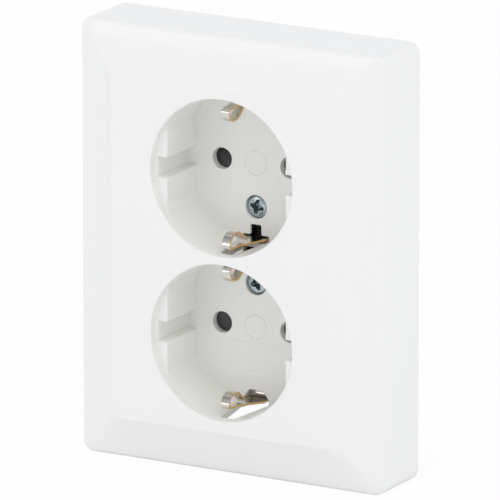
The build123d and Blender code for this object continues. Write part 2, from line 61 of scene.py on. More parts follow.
# Base: the insulating body that sits in the flush box, with the chambers for the live parts.
# It is moulded from matt glass-filled plastic, and four screws hold it behind the frame.
def add_node(tree, kind, inputs=None, **settings):
    """A shader node. An input is a plain value or the output socket of another node."""
    made = tree.nodes.new(kind)
    for key, value in settings.items():
        setattr(made, key, value)
    for key, value in (inputs or {}).items():
        if isinstance(value, bpy.types.NodeSocket):
            tree.links.new(value, made.inputs[key])
        else:
            made.inputs[key].default_value = value
    return made


def new_group(name, inputs, outputs):
    """An empty shader node group with its named sockets, and its two end nodes."""
    group = bpy.data.node_groups.new(name, "ShaderNodeTree")
    for label, kind in inputs:
        group.interface.new_socket(label, in_out="INPUT", socket_type="NodeSocket" + kind)
    for label, kind in outputs:
        group.interface.new_socket(label, in_out="OUTPUT", socket_type="NodeSocket" + kind)
    return group, group.nodes.new("NodeGroupInput"), group.nodes.new("NodeGroupOutput")


# Moulded plastic: slow clouds in tone and gloss, and the fine grain that the mould leaves.
moulded_grain, given, made = new_group(
    "moulded_grain",
    (("Plastic", "Color"), ("Tone Spread", "Float"), ("Gloss", "Float"), ("Gloss Spread", "Float"),
     ("Cloud Scale", "Float"), ("Grain Scale", "Float")),
    (("Color", "Color"), ("Roughness", "Float"), ("Height", "Float")),
)
place = add_node(moulded_grain, "ShaderNodeTexCoord").outputs["Object"]
clouds = add_node(moulded_grain, "ShaderNodeTexNoise",
                  {"Vector": place, "Scale": given.outputs["Cloud Scale"], "Detail": 3.0})
centred = add_node(moulded_grain, "ShaderNodeMath",
                   {0: clouds.outputs["Fac"], 1: 0.5}, operation="SUBTRACT")
tone = add_node(moulded_grain, "ShaderNodeMath",
                {0: centred.outputs[0], 1: given.outputs["Tone Spread"], 2: 1.0},
                operation="MULTIPLY_ADD")
toned = add_node(moulded_grain, "ShaderNodeHueSaturation",
                 {"Color": given.outputs["Plastic"], "Value": tone.outputs[0]})
gloss = add_node(moulded_grain, "ShaderNodeMath",
                 {0: centred.outputs[0], 1: given.outputs["Gloss Spread"], 2: given.outputs["Gloss"]},
                 operation="MULTIPLY_ADD")
grain = add_node(moulded_grain, "ShaderNodeTexNoise",
                 {"Vector": place, "Scale": given.outputs["Grain Scale"], "Detail": 2.0})
moulded_grain.links.new(toned.outputs["Color"], made.inputs["Color"])
moulded_grain.links.new(gloss.outputs[0], made.inputs["Roughness"])
moulded_grain.links.new(grain.outputs["Fac"], made.inputs["Height"])


def textured(name, group, values, bump):
    """A material whose colour, gloss and relief come from a node group, and its surface node."""
    material = bpy.data.materials.new(name)
    material.use_nodes = True
    tree = material.node_tree
    surface = tree.nodes["Principled BSDF"]
    texture = tree.nodes.new("ShaderNodeGroup")
    texture.node_tree = group
    for label, value in values.items():
        texture.inputs[label].default_value = value
    relief = add_node(tree, "ShaderNodeBump",
                      {"Height": texture.outputs["Height"], "Strength": 1.0, "Distance": bump})
    tree.links.new(texture.outputs["Color"], surface.inputs["Base Color"])
    tree.links.new(texture.outputs["Roughness"], surface.inputs["Roughness"])
    tree.links.new(relief.outputs["Normal"], surface.inputs["Normal"])
    return material, surface


def plastic(name, color, tone, rough, rough_spread, clouds, grain, bump, coat=0.0, coat_rough=0.12):
    """A moulded plastic. Clouds and grain are scales per metre, and bump is the depth of the grain."""
    material, surface = textured(name, moulded_grain, {
        "Plastic": (*color, 1), "Tone Spread": tone, "Gloss": rough, "Gloss Spread": rough_spread,
        "Cloud Scale": clouds, "Grain Scale": grain,
    }, bump)
    surface.inputs["Coat Weight"].default_value = coat
    surface.inputs["Coat Roughness"].default_value = coat_rough
    return material


def finish(node, material):
    """Gives a CAD node its material."""
    for material_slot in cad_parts[node].material_slots:
        material_slot.material = material


dark_insulator = plastic("dark_insulator", (0.045, 0.046, 0.05), tone=0.5, rough=0.55, rough_spread=0.25,
                         clouds=220, grain=5200, bump=0.02 * mm)
finish("base", dark_insulator)

# Contact bars and earth rivet: spring brass stamped from strip, folded into forks for the plug pins.
# The bars lie on edge in the base, and the rivet joins the two earth stampings.
rolled_metal, given, made = new_group(
    "rolled_metal",
    (("Metal", "Color"), ("Tarnish", "Color"), ("Tarnish Share", "Float"), ("Gloss", "Float"),
     ("Gloss Spread", "Float"), ("Streaks", "Vector")),
    (("Color", "Color"), ("Roughness", "Float"), ("Height", "Float")),
)
place = add_node(rolled_metal, "ShaderNodeTexCoord").outputs["Object"]
stretched = add_node(rolled_metal, "ShaderNodeVectorMath",
                     {0: place, 1: given.outputs["Streaks"]}, operation="MULTIPLY")
streaks = add_node(rolled_metal, "ShaderNodeTexNoise",
                   {"Vector": stretched.outputs[0], "Scale": 1.0, "Detail": 4.0})
blot_scale = 420.0
blots = add_node(rolled_metal, "ShaderNodeTexNoise",
                 {"Vector": place, "Scale": blot_scale, "Detail": 4.0})
share = add_node(rolled_metal, "ShaderNodeMath",
                 {0: blots.outputs["Fac"], 1: given.outputs["Tarnish Share"]}, operation="MULTIPLY")
stained = add_node(rolled_metal, "ShaderNodeMix",
                   {"Factor": share.outputs[0], 6: given.outputs["Metal"], 7: given.outputs["Tarnish"]},
                   data_type="RGBA")
centred = add_node(rolled_metal, "ShaderNodeMath",
                   {0: streaks.outputs["Fac"], 1: 0.5}, operation="SUBTRACT")
gloss = add_node(rolled_metal, "ShaderNodeMath",
                 {0: centred.outputs[0], 1: given.outputs["Gloss Spread"], 2: given.outputs["Gloss"]},
                 operation="MULTIPLY_ADD")
rolled_metal.links.new(stained.outputs[2], made.inputs["Color"])
rolled_metal.links.new(gloss.outputs[0], made.inputs["Roughness"])
rolled_metal.links.new(streaks.outputs["Fac"], made.inputs["Height"])


def metal(name, color, tarnish, share, rough, rough_spread, streaks, bump):
    """A rolled or plated metal. Share is that of the tarnish, and streaks are their scales per metre."""
    material, surface = textured(name, rolled_metal, {
        "Metal": (*color, 1), "Tarnish": (*tarnish, 1), "Tarnish Share": share,
        "Gloss": rough, "Gloss Spread": rough_spread, "Streaks": streaks,
    }, bump)
    surface.inputs["Metallic"].default_value = 1.0
    return material


bare_brass = metal("bare_brass", (0.80, 0.56, 0.25), tarnish=(0.58, 0.34, 0.11), share=0.4,
                   rough=0.32, rough_spread=0.2, streaks=(4000, 4000, 300), bump=0.004 * mm)
for node in ("line_bar", "neutral_bar", "earth_rivet"):
    finish(node, bare_brass)

# Clamp springs and shutter springs: bright stainless spring steel, leaves bent from strip and
# torsion coils wound from wire.
spring_steel = metal("spring_steel", (0.56, 0.55, 0.53), tarnish=(0.36, 0.35, 0.34), share=0.4,
                     rough=0.26, rough_spread=0.2, streaks=(3000, 3000, 3000), bump=0.002 * mm)
for node in ("clamp_springs", "shutter_spring_upper", "shutter_spring_lower"):
    finish(node, spring_steel)

# Release pushers: small light grey mouldings in slots of the base, one for each terminal.
# Pressed in with a blade, they lift the clamp springs off the wires.
pusher_grey = plastic("pusher_grey", (0.52, 0.52, 0.50), tone=0.25, rough=0.42, rough_spread=0.2,
                      clouds=500, grain=6000, bump=0.008 * mm)
for node in ("pusher_line", "pusher_neutral", "pusher_earth"):
    finish(node, pusher_grey)

# Contact cover: the insulating plate over the chambers, with a hole for each plug pin. It is moulded
# from the same plastic as the base, and the frame screws hold both.
finish("contact_cover", dark_insulator)

# Support frame: a ring stamped from zinc-plated sheet steel, with slots for the screws of the flush
# box. The contact cover and the base hang behind it.
zinc_sheet = metal("zinc_sheet", (0.58, 0.60, 0.61), tarnish=(0.40, 0.41, 0.41), share=0.6,
                   rough=0.38, rough_spread=0.3, streaks=(500, 3000, 3000), bump=0.006 * mm)
finish("support_frame", zinc_sheet)

# Frame screws: four pan heads of steel with a blue zinc finish. They hold the contact cover and the
# base behind the frame.
zinc_screw = metal("zinc_screw", (0.55, 0.62, 0.66), tarnish=(0.30, 0.37, 0.40), share=0.5,
                   rough=0.24, rough_spread=0.3, streaks=(2500, 2500, 2500), bump=0.004 * mm)
finish("frame_screws", zinc_screw)


# Earth strap and earth bridge: two stampings of nickel-plated brass, bent to shape, whose cut edges
# show bare brass. Each ends in two looped contacts, one at the top or bottom of each cup.
def loop_at(bm, points):
    """A closed loop of vertices."""
    return [bm.verts.new(p) for p in points]


def skin(bm, loops):
    """Quads between loops of as many vertices each."""
    for a, b in zip(loops, loops[1:]):
        for i in range(len(a)):
            j = (i + 1) % len(a)
            bm.faces.new((a[i], a[j], b[j], b[i]))


def object_from(bm, name, materials):
    """A smooth-shaded object of a finished mesh, with its sharp edges marked."""
    bmesh.ops.recalc_face_normals(bm, faces=bm.faces)
    mesh = bpy.data.meshes.new(name)
    bm.to_mesh(mesh)
    bm.free()
    for material in materials:
        mesh.materials.append(material)
    mesh.shade_smooth()
    mesh.set_sharp_from_angle(angle=sharp_angle)
    made = bpy.data.objects.new(name, mesh)
    bpy.context.scene.collection.objects.link(made)
    return made


def bent_path(points, steps=10):
    """Stations (y, z, half width) along a strip: each point is (y, z, bend radius, half width)."""
    stations = [(points[0][0], points[0][1], points[0][3])]
    for before, here, after in zip(points, points[1:], points[2:]):
        corner = Vector(here[:2])
        back = (Vector(before[:2]) - corner).normalized()
        on = (Vector(after[:2]) - corner).normalized()
        half = back.angle(on) / 2
        reach = here[2] / tan(half)
        centre = corner + (back + on).normalized() * here[2] / sin(half)
        start = corner + back * reach - centre
        turn = start.angle_signed(corner + on * reach - centre)
        for k in range(steps + 1):
            angle = -turn * k / steps
            y = centre.x + start.x * cos(angle) - start.y * sin(angle)
            z = centre.y + start.x * sin(angle) + start.y * cos(angle)
            stations.append((y, z, here[3]))
    return stations + [(points[-1][0], points[-1][1], points[-1][3])]


def bent_strip(bm, points):
    """A bent strip across X. Its flat sides are plated, and its cut edges and ends are bare."""
    stations = bent_path(points)
    rows = []
    for i, (y, z, half) in enumerate(stations):
        thick = strip_t if half > loop_half else loop_t
        edge = edge_share * thick
        y0, z0, _ = stations[max(i - 1, 0)]
        y1, z1, _ = stations[min(i + 1, len(stations) - 1)]
        along = Vector((y1 - y0, z1 - z0)).normalized()
        out = Vector((-along.y, along.x)) * thick / 2
        brim = out * (1 - 2 * edge / thick)
        rows.append(loop_at(bm, [
            (x, y + n.x, z + n.y)
            for x, n in ((edge - half, out), (half - edge, out), (half, brim), (half, -brim),
                         (half - edge, -out), (edge - half, -out), (-half, -brim), (-half, brim))
        ]))
    skin(bm, rows)
    for end in (rows[0], rows[-1]):
        bm.faces.new(end).material_index = 1
    for row, follow in zip(rows, rows[1:]):
        for i in cut_sides:
            j = (i + 1) % 8
            shared = set(row[i].link_faces) & set(row[j].link_faces) & set(follow[i].link_faces)
            for face in shared:
                face.material_index = 1


def circle(x, y, z, r, count):
    """Points of a circle across the plate at depth y."""
    return [(x + r * cos(2 * pi * k / count), y, z + r * sin(2 * pi * k / count)) for k in range(count)]


def turned(bm, x, z, profile, count=48):
    """A closed turned form about a line along Y, with a profile of (radius, y) points."""
    loops = [loop_at(bm, circle(x, y, z, r, count)) for r, y in profile]
    skin(bm, loops)
    for end in (loops[0], loops[-1]):
        bm.faces.new(end)


def prism(bm, outline, first, last, along="Y"):
    """A straight block: an outline of (x, z) points carried along Y, or of (x, y) points along Z."""
    order = {"Y": (0, 2, 1), "Z": (0, 1, 2)}[along]
    ends = [loop_at(bm, [[(*point, depth)[i] for i in order] for point in outline])
            for depth in (first, last)]
    skin(bm, ends)
    for end in ends:
        bm.faces.new(end)


def combine(target, bm, operation, material=None):
    """Takes a closed mesh out of a piece (DIFFERENCE) or joins it on (UNION). A material given here
    goes to the faces that the mesh leaves."""
    bmesh.ops.recalc_face_normals(bm, faces=bm.faces)
    mesh = bpy.data.meshes.new("tool")
    bm.to_mesh(mesh)
    bm.free()
    tool = bpy.data.objects.new("tool", mesh)
    bpy.context.scene.collection.objects.link(tool)
    modifier = target.modifiers.new("combine", "BOOLEAN")
    modifier.operation = operation
    modifier.solver = "EXACT"
    modifier.object = tool
    if material:
        mesh.materials.append(material)
        modifier.material_mode = "TRANSFER"
    evaluated = target.evaluated_get(bpy.context.evaluated_depsgraph_get())
    result = bpy.data.meshes.new_from_object(evaluated)
    target.modifiers.clear()
    target.data = result
    bpy.data.objects.remove(tool)


sharp_angle = radians(32)
strip_t = 0.5 * mm
loop_t = 0.6 * mm
root_half = 3.3 * mm
loop_half = 1.175 * mm
edge_share = 0.14
cut_sides = (1, 2, 3, 5, 6, 7)
floor_y = -6.0 * mm
cup_z = 20.75 * mm
middle_root = 18.8 * mm
outer_root = 18.35 * mm
leg_end = 1.5 * mm
leg_lift = 0.04 * mm
leg_bend = 2.0 * mm

# Each loop in mm from its tip to its leg: y from the cup floor, distance from the cup's axis and bend
# radius. The outer contacts lean towards the axis.
middle_loop = ((-6.3, 17.5, 0.6), (-10.6, 14.75, 3.4), (-13.8, 15.1, 2.5), (-15.1, 18.3, 0.95),
               (-9.8, 18.4, 2.5))
outer_loop = ((-6.9, 16.8, 0.6), (-10.8, 13.7, 3.4), (-14.2, 13.8, 2.6), (-15.6, 16.75, 0.85),
              (-9.8, 17.3, 2.5))


def contact(loop, root, axis_z):
    """Points of a contact below a cup's axis, from its tip to its root just in front of the floor."""
    points = [(floor_y + y * mm, axis_z - z * mm, r * mm, loop_half) for y, z, r in loop]
    return points + [(floor_y - leg_end, axis_z - root + leg_lift, leg_bend, root_half)]


def mirrored(points):
    """The same points upside down, in reverse order."""
    return [(y, -z, r, half) for y, z, r, half in reversed(points)]


# The strap runs behind the shutters and rises over the frame, leaning a little behind the outer
# openings. It has a drawn collar for each cover screw and a tab for the earth wires.
strap_y = 0.25 * mm
strap_high = -3.25 * mm
strap_lean = 0.3 * mm
root_bend = 1.3 * mm
step_bend = 1.0 * mm
step_top = 13.3 * mm
step_foot = 8.0 * mm
screw_z = 9.65 * mm
collar_r = 2.4 * mm
collar_tip_r = 2.2 * mm
collar_edge = 0.2 * mm
collar_end = 2.5 * mm
thread_r = 1.52 * mm
rivet_r = 1.02 * mm
tab_near = 2.8 * mm
tab_far = 3.29 * mm
tab_half = 7.0 * mm
tab_end = 13.6 * mm
cut_past = 0.5 * mm
bore_sides = 32
nickel = metal("nickel_plate", (0.74, 0.71, 0.66), tarnish=(0.55, 0.51, 0.45), share=0.4,
               rough=0.17, rough_spread=0.12, streaks=(3500, 3500, 900), bump=0.003 * mm)
lower_half = contact(outer_loop, outer_root, -cup_z) + [
    (strap_high - strap_lean, -cup_z - outer_root, root_bend, root_half),
    (strap_high + strap_lean, -cup_z - step_top, step_bend, root_half),
    (strap_y, -cup_z - step_foot, step_bend, root_half),
]
strap_mesh = bmesh.new()
bent_strip(strap_mesh, lower_half + mirrored(lower_half))
earth_strap = object_from(strap_mesh, "earth_strap_dressed", (nickel, bare_brass))
collar = ((collar_r, strap_y), (collar_r, collar_end - collar_edge), (collar_tip_r, collar_end))
tab = ((tab_near, -tab_half), (tab_far, -tab_half), (tab_far, tab_half), (tab_near, tab_half))
added = bmesh.new()
for s in (1, -1):
    turned(added, 0, s * screw_z, collar, bore_sides)
prism(added, tab, strap_y, tab_end)
combine(earth_strap, added, "UNION")
bores = bmesh.new()
for z, r in ((screw_z, thread_r), (-screw_z, thread_r), (0, rivet_r)):
    turned(bores, 0, z, ((r, -cut_past), (r, collar_end + cut_past)), bore_sides)
combine(earth_strap, bores, "DIFFERENCE")
earth_strap.data.set_sharp_from_angle(angle=sharp_angle)
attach(earth_strap, "outlet")
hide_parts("earth_strap")

# The bridge is a U that lies on the strap in the plate's middle and is riveted to it.
bridge_y = -0.25 * mm
bridge_bend = 0.6 * mm
upper_side = contact(middle_loop, middle_root, cup_z)
upper_side += [(bridge_y, cup_z - middle_root, bridge_bend, root_half)]
bridge_mesh = bmesh.new()
bent_strip(bridge_mesh, upper_side + mirrored(upper_side))
earth_bridge = object_from(bridge_mesh, "earth_bridge_dressed", (nickel, bare_brass))
rivet_hole = bmesh.new()
turned(rivet_hole, 0, 0, ((rivet_r, -2 * cut_past), (rivet_r, cut_past)), bore_sides)
combine(earth_bridge, rivet_hole, "DIFFERENCE")
earth_bridge.data.set_sharp_from_angle(angle=sharp_angle)
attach(earth_bridge, "outlet")
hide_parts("earth_bridge")

# Shutters: two dark grey mouldings on pivots behind the cup floors. A plug pin slides up the ramp of
# one wing and turns both wings clear of the pin holes.
shutter_grey = plastic("shutter_grey", (0.068, 0.07, 0.066), tone=0.35, rough=0.45, rough_spread=0.2,
                       clouds=400, grain=6000, bump=0.01 * mm)
for node in ("shutter_upper", "shutter_lower"):
    finish(node, shutter_grey)


# Cover: one white thermoplastic moulding, the raised plate with its coved border and both cups.
# It is held by a screw in each cup, and its back rim lies on the wall.
def rounded_rectangle(half_w, half_h, r, y, steps=8):
    """Points of a rounded rectangle across the plate at depth y."""
    points = []
    for cx, cz, first in ((1, 1, 0), (-1, 1, 90), (-1, -1, 180), (1, -1, 270)):
        for k in range(steps + 1):
            a = radians(first + 90 * k / steps)
            points.append((cx * (half_w - r) + r * cos(a), y, cz * (half_h - r) + r * sin(a)))
    return points


def flat_fill(bm, *loops):
    """A flat face inside the first loop, with the other loops as holes."""
    edges = []
    for loop in loops:
        for i, vertex in enumerate(loop):
            pair = (vertex, loop[(i + 1) % len(loop)])
            edges.append(bm.edges.get(pair) or bm.edges.new(pair))
    bmesh.ops.triangle_fill(bm, edges=edges, use_beauty=True)


low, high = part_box("cover")
half_w, half_h, front = high.x, high.z, low.y
side_d = 18.0 * mm
cove_w = 11.5 * mm
cove_sag = 0.92 * mm
corner_r = 2.6 * mm
field_corner_r = 1.5 * mm
edge_r = 1.2 * mm
field_edge_r = 0.7 * mm
shell_t = 2.2 * mm

# The border in section, as (inset, depth): side, rounded edge, cove, rounded edge of the field.
rise = -front - side_d
half_chord = hypot(cove_w, rise) / 2
cove_r = (half_chord ** 2 + cove_sag ** 2) / (2 * cove_sag)
lean = atan2(rise, cove_w)
cove_lift = cove_r - cove_sag
cove_c = Vector((cove_w / 2 - sin(lean) * cove_lift, side_d + rise / 2 + cos(lean) * cove_lift))
edge_c = Vector((edge_r, cove_c.y - sqrt((cove_r + edge_r) ** 2 - (edge_r - cove_c.x) ** 2)))
field_d = -front - field_edge_r
field_c = Vector((cove_c.x + sqrt((cove_r + field_edge_r) ** 2 - (field_d - cove_c.y) ** 2), field_d))


def arc(centre, r, first, last, steps):
    """Points of an arc between two angles."""
    return [(centre.x + r * cos(first + (last - first) * k / steps),
             centre.y + r * sin(first + (last - first) * k / steps)) for k in range(steps + 1)]


to_edge = edge_c - cove_c
to_field = field_c - cove_c
edge_end = atan2(-to_edge.y, -to_edge.x)
field_start = atan2(-to_field.y, -to_field.x)
back_edge_r = 0.35 * mm
back_edge_mid = 0.1 * mm
border = [(back_edge_r, 0.0), (back_edge_mid, back_edge_mid), (0.0, back_edge_r)]
border += arc(edge_c, edge_r, pi, edge_end, 6)
border += arc(cove_c, cove_r, atan2(to_edge.y, to_edge.x), atan2(to_field.y, to_field.x), 14)[1:-1]
border += arc(field_c, field_edge_r, field_start, pi / 2, 5)


def plate_ring(bm, inset, depth):
    """A loop round the plate, with corners that grow tighter towards the field."""
    r = corner_r + (field_corner_r - corner_r) * inset / cove_w
    return loop_at(bm, rounded_rectangle(half_w - inset, half_h - inset, r, -depth))


# The cups: a round mouth, and behind it a flat on each side with a groove down its middle, which
# leaves ribs with rounded ends.
cup_r = 19.7 * mm
rim_r = 0.5 * mm
rim_straight = 0.3 * mm
rib_y = front + 2.45 * mm
rib_edge_r = 0.8 * mm
rib_corner_r = 0.34 * mm
rib_growth = 2.2 * mm
rib_share = 0.7
round_step = 0.02 * mm
foot_r = 0.3 * mm
crease = 0.09
flat_x = 16.45 * mm
groove_x = 19.1 * mm
groove_side_x = 18.4 * mm
groove_half = 2.5 * mm
groove_edge_r = 0.4 * mm
groove_end_r = 0.3 * mm
groove_corner_r = 0.2 * mm


def quarter_wall():
    """A quarter of the cup wall behind its mouth, from +X to +Z: (x, z, way into the wall, rounding)."""
    points = [(groove_x, z * mm, (1, 0), groove_end_r) for z in (0.0, 0.8, 1.6, 2.2)]
    points += [(groove_x, groove_half, (0.7, 0.7), groove_corner_r),
               (groove_side_x, groove_half, (0, 1), groove_end_r)]
    corner = Vector((flat_x + groove_edge_r, groove_half + groove_edge_r))
    for k in range(5):
        a = radians(270 - 22.5 * k)
        way = (-cos(a), -sin(a))
        points.append((corner.x - groove_edge_r * way[0], corner.y - groove_edge_r * way[1],
                       way, rib_corner_r))
    flat_end = sqrt(cup_r ** 2 - flat_x ** 2)
    for share in (0.05, 0.12, 0.22, 0.4, 0.55, 0.68, 0.78, 0.86):
        z = corner.y + (flat_end - corner.y) * share
        depth = sqrt(cup_r ** 2 - z ** 2) - flat_x
        r = min(rib_edge_r, rib_corner_r + share * rib_growth, rib_share * depth)
        points.append((flat_x, z, (1, 0), r))
    first = atan2(flat_end, flat_x) + crease
    points += [(cup_r * cos(a), cup_r * sin(a), (0, 0), 0.0)
               for a in (first + (pi / 2 - first) * k / 20 for k in range(21))]
    return points


def cup_wall():
    """The whole wall, with the angle of each point on the round mouth."""
    quarter = quarter_wall()
    ribbed = sum(1 for p in quarter if p[3])
    first = acos(flat_x / cup_r)
    angles = [first * k / ribbed for k in range(ribbed)]
    angles += [atan2(z, x) for x, z, _, _ in quarter[ribbed:]]
    placed = [(x, z, way, r, a) for (x, z, way, r), a in zip(quarter, angles)]
    half = placed + [(-x, z, (-w[0], w[1]), r, pi - a) for x, z, w, r, a in reversed(placed[:-1])]
    return half + [(x, -z, (w[0], -w[1]), r, -a) for x, z, w, r, a in reversed(half[1:-1])]


def cup_loops(bm, z0):
    """Loops of one cup from the rim to the floor."""
    wall = cup_wall()
    loops = []
    for k in range(7):
        a = pi / 2 * k / 6
        r = cup_r + rim_r * (1 - sin(a))
        loops.append([(r * cos(p[4]), front + rim_r * (1 - cos(a)), r * sin(p[4])) for p in wall])
    for y in (rib_y - rim_straight, rib_y):
        loops.append([(cup_r * cos(p[4]), y, cup_r * sin(p[4])) for p in wall])
    for k in range(8):
        a = pi / 2 * k / 7
        sunk = 1 - cos(a)
        loops.append([
            (x + way[0] * r * (1 - sin(a)),
             rib_y + max(r, rib_edge_r) * sunk + round_step * (k + 1) * (r == 0),
             z + way[1] * r * (1 - sin(a)))
            for x, z, way, r, _ in wall
        ])
    for k in range(6):
        a = pi / 2 * k / 5
        inset = foot_r * (1 - cos(a))
        y = floor_y - foot_r * (1 - sin(a))
        loops.append([(x - inset * cos(atan2(z, x)), y, z - inset * sin(atan2(z, x)))
                      for x, z, _, _, _ in wall])
    return [loop_at(bm, [(x, y, z + z0) for x, y, z in loop]) for loop in loops]


def tube_outline(y, r, steps=72):
    """The two cup tubes from behind: two circles that meet between the cups."""
    meet = asin(cup_z / r)
    points = []
    for z0, first in ((cup_z, -meet), (-cup_z, pi - meet)):
        for k in range(steps):
            a = first + (pi + 2 * meet) * k / steps
            points.append((r * cos(a), y, z0 + r * sin(a)))
    return points


inner_margin = 1.0 * mm
cover_mesh = bmesh.new()
outside = [plate_ring(cover_mesh, inset, depth) for inset, depth in border]
inside = [plate_ring(cover_mesh, inset, depth) for inset, depth in (
    (shell_t, 0.0),
    (shell_t, side_d - shell_t),
    (cove_w + inner_margin, -front - shell_t),
)]
skin(cover_mesh, outside)
skin(cover_mesh, [outside[0], inside[0]])
skin(cover_mesh, inside)
cups = [cup_loops(cover_mesh, z0) for z0 in (cup_z, -cup_z)]
for loops in cups:
    skin(cover_mesh, loops)
    flat_fill(cover_mesh, loops[-1])
flat_fill(cover_mesh, outside[-1], cups[0][0], cups[1][0])

# The back: the cup tubes, and behind each floor a screw boss, a shutter pivot and a spring post, each
# as (x, z, radius, end).
floor_back = -4.0 * mm
tube_r = 21.2 * mm
boss = (0, screw_z, 4.2 * mm, -0.3 * mm)
pivot = (0, cup_z, 2.0 * mm, -0.9 * mm)
post = (3.7 * mm, cup_z - 6.0 * mm, 0.8 * mm, -0.9 * mm)
standing_sides = 32
tubes = [loop_at(cover_mesh, tube_outline(y, tube_r)) for y in (shell_t + front, floor_back)]
skin(cover_mesh, tubes)
flat_fill(cover_mesh, inside[-1], tubes[0])
standing = []
for x, z, r, end in (boss, pivot, post):
    for s in (1, -1):
        foot = loop_at(cover_mesh, circle(s * x, floor_back, s * z, r, standing_sides))
        top = loop_at(cover_mesh, circle(s * x, end, s * z, r, standing_sides))
        skin(cover_mesh, [foot, top])
        cover_mesh.faces.new(top)
        standing.append(foot)
flat_fill(cover_mesh, tubes[1], *standing)
white_moulding = plastic("white_moulding", (0.945, 0.94, 0.902), tone=0.012, rough=0.3, rough_spread=0.1,
                         clouds=60, grain=900, bump=0.004 * mm, coat=0.15)
cover = object_from(cover_mesh, "cover_dressed", (white_moulding,))

# Pin holes and screw wells, each with a small lead-in.
pin_x = 9.5 * mm
pin_hole_r = 2.7 * mm
lead_in = 0.12 * mm
head_r = 2.8 * mm
head_seat = floor_y + 2.6 * mm
well_r = head_r + 0.18 * mm
shank_r = 1.7 * mm
shank_end = 1.0 * mm
above = floor_y - 1.0 * mm
below = floor_back + 0.5 * mm
holes = bmesh.new()
for s in (1, -1):
    for x in (pin_x, -pin_x):
        turned(holes, x, s * cup_z, ((pin_hole_r + lead_in, above), (pin_hole_r + lead_in, floor_y),
                                     (pin_hole_r, floor_y + lead_in), (pin_hole_r, below)))
    turned(holes, 0, s * screw_z, ((well_r + lead_in, above), (well_r + lead_in, floor_y),
                                   (well_r, floor_y + lead_in), (well_r, head_seat),
                                   (shank_r, head_seat), (shank_r, shank_end)))
combine(cover, holes, "DIFFERENCE")

# Slots that let the contacts spring back, tapered like them, through the walls of the cups.
slot_gap = 0.65 * mm
slot_y = rib_y + 0.8 * mm
slot_foot = floor_y + 0.03 * mm
taper = ((-root_half - slot_gap, slot_foot), (root_half + slot_gap, slot_foot),
         (loop_half + slot_gap, slot_y), (-loop_half - slot_gap, slot_y))
slot_near = cup_z + middle_root
slot_far = cup_z + tube_r + 0.6 * mm
slot_middle = 2.05 * mm
slots = bmesh.new()
for z0, z1 in ((slot_near, slot_far), (-slot_far, -slot_near), (-slot_middle, slot_middle)):
    prism(slots, taper, z0, z1, "Z")
combine(cover, slots, "DIFFERENCE")


# Openings in the floors: a T beside the plate's middle, its stem wider behind a thin lip, and a
# trapezoid at the outer side. Their outlines and corner radii are in mm from the cup's axis.
def in_cup(side, points):
    """Points given from a cup's axis in mm, with the plate's middle below, in the upper or lower cup."""
    return [(x * mm, side * (cup_z + z * mm)) for x, z in points]


def eased(outline, r, steps=4):
    """An outline with its corners rounded."""
    points = []
    for i, place in enumerate(outline):
        corner = Vector(place)
        back = (Vector(outline[i - 1]) - corner).normalized()
        on = (Vector(outline[(i + 1) % len(outline)]) - corner).normalized()
        reach = r / tan(back.angle(on) / 2)
        for k in range(steps + 1):
            start = (corner + back * reach).lerp(corner, k / steps)
            end = corner.lerp(corner + on * reach, k / steps)
            points.append(start.lerp(end, k / steps)[:])
    return points


floor_lip = 0.7 * mm
opening_t_r = 0.35
trapezoid_r = 0.5
opening_t = ((-1.55, -15.5), (1.55, -15.5), (1.55, -18.1), (3.6, -18.1), (3.6, -20.2),
             (-3.6, -20.2), (-3.6, -18.1), (-1.55, -18.1))
trapezoid = ((-3.6, 21.8), (3.6, 21.8), (3.6, 18.2), (1.9, 16.0), (-1.9, 16.0), (-3.6, 18.2))
wide_stem = ((-2.55, -15.5), (2.55, -15.5), (2.55, -18.8), (-2.55, -18.8))
openings = bmesh.new()
for s in (1, -1):
    prism(openings, in_cup(s, eased(opening_t, opening_t_r)), above, below)
    prism(openings, in_cup(s, eased(trapezoid, trapezoid_r)), above, below)
combine(cover, openings, "DIFFERENCE")
relief = bmesh.new()
for s in (1, -1):
    prism(relief, in_cup(s, wide_stem), floor_y + floor_lip, below)
combine(cover, relief, "DIFFERENCE")

# Witness ring of the mould in each floor, the gate mark in the upper one, and the shallow bare field
# in the lower cup, which runs out at its ends.
marks = bmesh.new()
ring_sides = 64
ring_r = 3.05 * mm
ring_w = 0.22 * mm
ring_deep = 0.2 * mm
for z0 in (cup_z, -cup_z):
    section = ((ring_r - ring_w, above), (ring_r - ring_w, floor_y), (ring_r, floor_y + ring_deep),
               (ring_r + ring_w, floor_y), (ring_r + ring_w, above))
    loops = [loop_at(marks, circle(0, y, z0, r, ring_sides)) for r, y in section]
    skin(marks, loops + [loops[0]])
gate_x = -0.6 * mm
gate_z = cup_z + 0.35 * mm
gate_r = 0.28 * mm
gate_foot_r = 0.1 * mm
gate_deep = 0.12 * mm
gate_sides = 16
gate = ((gate_r, above), (gate_r, floor_y), (gate_foot_r, floor_y + gate_deep))
turned(marks, gate_x, gate_z, gate, gate_sides)

# The field in mm: half its width, and its two edges from the cup's axis.
field_rim = (9.5, 3.9, 12.2)
field_foot = (6.0, 4.05, 11.6)
field_deep = 0.38 * mm
field_steps = ((above, field_rim), (floor_y, field_rim), (floor_y + field_deep, field_foot))
field_loops = []
for y, (half_x, first, last) in field_steps:
    corners = in_cup(-1, ((-half_x, first), (half_x, first), (half_x, last), (-half_x, last)))
    field_loops.append(loop_at(marks, [(x, y, z) for x, z in corners]))
skin(marks, field_loops)
for end in (field_loops[0], field_loops[-1]):
    marks.faces.new(end)
combine(cover, marks, "DIFFERENCE")
cover.data.set_sharp_from_angle(angle=sharp_angle)
flat_faces = cover.modifiers.new("flat_faces", "WEIGHTED_NORMAL")
flat_faces.keep_sharp = True
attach(cover, "outlet")
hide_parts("cover")

